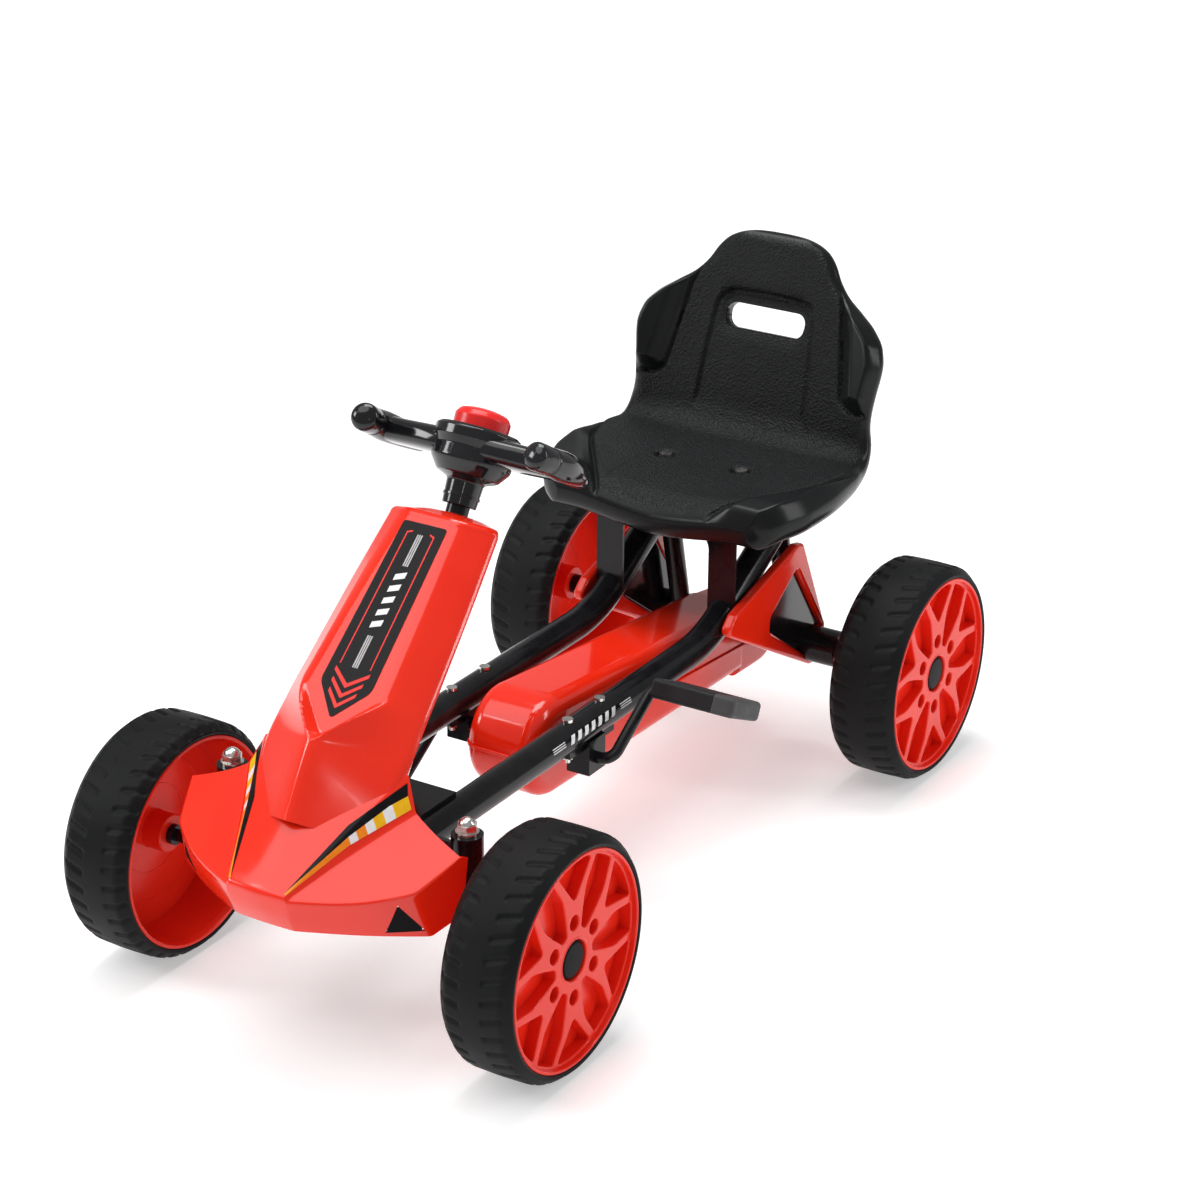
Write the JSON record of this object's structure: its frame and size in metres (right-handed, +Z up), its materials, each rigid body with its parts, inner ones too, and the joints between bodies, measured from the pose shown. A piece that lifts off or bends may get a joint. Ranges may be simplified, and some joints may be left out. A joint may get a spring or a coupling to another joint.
{
  "type": "pedal go kart",
  "caption": "Child pedal go kart with a bucket seat on a tubular frame, dished wheels, raked column cover, yoke steering and a chain-driven rear axle.",
  "frame": {"origin": "on the ground, under the middle of the bounding box", "axes": "+Z up, the kart faces -Y, its own left side is +X"},
  "size_m": [0.502, 0.989, 0.5449],
  "materials": {
    "tyre": "matt foam rubber",
    "red_rim": "gloss",
    "red_gloss_plastic": "gloss",
    "red_button_plastic": "gloss",
    "black_gloss_plastic": "gloss",
    "seat_plastic": "grained",
    "pedal_plastic": "satin",
    "nylon": "satin",
    "black_painted_steel": "gloss paint",
    "zinc_fasteners": "bright zinc",
    "bare_steel": "oiled steel"
  },
  "bodies": {
    "chassis": {"axle_bearings": "bare_steel", "axle_housing_left": "black_painted_steel", "axle_housing_right": "black_painted_steel", "chain_guard_lower": "red_gloss_plastic", "chain_guard_upper": "red_gloss_plastic", "column_bushes": "nylon", "column_cover_front": "red_gloss_plastic", "column_cover_rear": "red_gloss_plastic", "column_support_plate": "black_painted_steel", "crank_bearing_bolts": "zinc_fasteners", "crank_bearing_left": "black_painted_steel", "crank_bearing_right": "black_painted_steel", "drive_chain": "bare_steel", "frame_rail_left": "black_painted_steel", "frame_rail_right": "black_painted_steel", "front_cross_tube": "black_painted_steel", "nose_brackets": "black_painted_steel", "nose_bumper": "red_gloss_plastic", "nose_vent_inserts": "black_gloss_plastic", "rear_cover_left": "red_gloss_plastic", "rear_cover_right": "red_gloss_plastic", "rear_inset_left": "black_gloss_plastic", "rear_inset_right": "black_gloss_plastic", "rear_stay_left": "black_painted_steel", "rear_stay_right": "black_painted_steel", "seat_bolts": "zinc_fasteners", "seat_bracket": "black_painted_steel", "seat_shell": "seat_plastic"},
    "steering": {"steering_column": "black_painted_steel", "steering_wheel": "black_gloss_plastic", "pitman_plate": "black_painted_steel"},
    "horn_button": {"horn_button": "red_button_plastic"},
    "knuckle_left": {"stub_axle_left": "black_painted_steel", "knuckle_nuts_left": "zinc_fasteners"},
    "tie_rod_left": {"tie_rod_left": "bare_steel"},
    "front_wheel_left": {"tyre_front_left": "tyre", "rim_front_left": "red_rim", "hub_cap_front_left": "black_gloss_plastic"},
    "pedal_left": {"pedal_left": "pedal_plastic", "pedal_cap_left": "pedal_plastic"},
    "knuckle_right": {"stub_axle_right": "black_painted_steel", "knuckle_nuts_right": "zinc_fasteners"},
    "tie_rod_right": {"tie_rod_right": "bare_steel"},
    "front_wheel_right": {"tyre_front_right": "tyre", "rim_front_right": "red_rim", "hub_cap_front_right": "black_gloss_plastic"},
    "pedal_right": {"pedal_right": "pedal_plastic", "pedal_cap_right": "pedal_plastic"},
    "crank": {"crankshaft": "black_painted_steel", "crank_sprocket": "bare_steel"},
    "rear_axle": {"rear_axle_shaft": "bare_steel", "rear_sprocket": "bare_steel", "axle_spacers": "black_painted_steel", "rear_wheel_nuts": "zinc_fasteners", "tyre_rear_right": "tyre", "rim_rear_right": "red_rim", "hub_cap_rear_right": "black_gloss_plastic"},
    "rear_wheel_left": {"tyre_rear_left": "tyre", "rim_rear_left": "red_rim", "hub_cap_rear_left": "black_gloss_plastic"}
  },
  "joints": [
    {"name": "steering_turn", "type": "hinge", "parent": "chassis", "child": "steering", "pos_m": [0, -0.302, 0.199], "axis": [0, 0.5, 0.866], "range_deg": [-26, 26]},
    {"name": "knuckle_left_turn", "type": "hinge", "parent": "chassis", "child": "knuckle_left", "pos_m": [0.132, -0.35, 0.183], "axis": [0, 0, 1], "range_deg": [-18.8, 18.8]},
    {"name": "tie_rod_left_pivot", "type": "hinge", "parent": "knuckle_left", "child": "tie_rod_left", "pos_m": [0.132, -0.3, 0.14], "axis": [0, 0, 1], "range_deg": [-18.8, 18.8]},
    {"name": "knuckle_right_turn", "type": "hinge", "parent": "chassis", "child": "knuckle_right", "pos_m": [-0.132, -0.35, 0.183], "axis": [0, 0, 1], "range_deg": [-18.8, 18.8]},
    {"name": "tie_rod_right_pivot", "type": "hinge", "parent": "knuckle_right", "child": "tie_rod_right", "pos_m": [-0.132, -0.3, 0.14], "axis": [0, 0, 1], "range_deg": [-18.8, 18.8]},
    {"name": "horn_press", "type": "slide", "parent": "steering", "child": "horn_button", "axis": [0, -0.5, -0.866], "range_m": [0, 0.004], "stiffness_N_per_m": 600},
    {"name": "front_wheel_left_spin", "type": "hinge", "parent": "knuckle_left", "child": "front_wheel_left", "pos_m": [0.213, -0.35, 0.1175], "axis": [1, 0, 0], "continuous": true},
    {"name": "front_wheel_right_spin", "type": "hinge", "parent": "knuckle_right", "child": "front_wheel_right", "pos_m": [-0.213, -0.35, 0.1175], "axis": [1, 0, 0], "continuous": true},
    {"name": "rear_axle_spin", "type": "hinge", "parent": "chassis", "child": "rear_axle", "pos_m": [0, 0.377, 0.1175], "axis": [1, 0, 0], "continuous": true},
    {"name": "crank_spin", "type": "hinge", "parent": "chassis", "child": "crank", "pos_m": [0, -0.049, 0.152], "axis": [1, 0, 0], "continuous": true},
    {"name": "pedal_left_spin", "type": "hinge", "parent": "crank", "child": "pedal_left", "pos_m": [0.16, 0.02499, 0.20497], "axis": [1, 0, 0], "continuous": true},
    {"name": "pedal_right_spin", "type": "hinge", "parent": "crank", "child": "pedal_right", "pos_m": [-0.16, -0.12299, 0.09903], "axis": [1, 0, 0], "continuous": true},
    {"name": "rear_wheel_left_spin", "type": "hinge", "parent": "rear_axle", "child": "rear_wheel_left", "pos_m": [0.213, 0.377, 0.1175], "axis": [1, 0, 0], "continuous": true}
  ],
  "couplings": [
    {"joint": "knuckle_left_turn", "follows": "steering_turn", "ratio": 0.72},
    {"joint": "tie_rod_left_pivot", "follows": "steering_turn", "ratio": -0.72},
    {"joint": "knuckle_right_turn", "follows": "steering_turn", "ratio": 0.72},
    {"joint": "tie_rod_right_pivot", "follows": "steering_turn", "ratio": -0.72},
    {"joint": "crank_spin", "follows": "rear_axle_spin", "ratio": 0.54545}
  ]
}
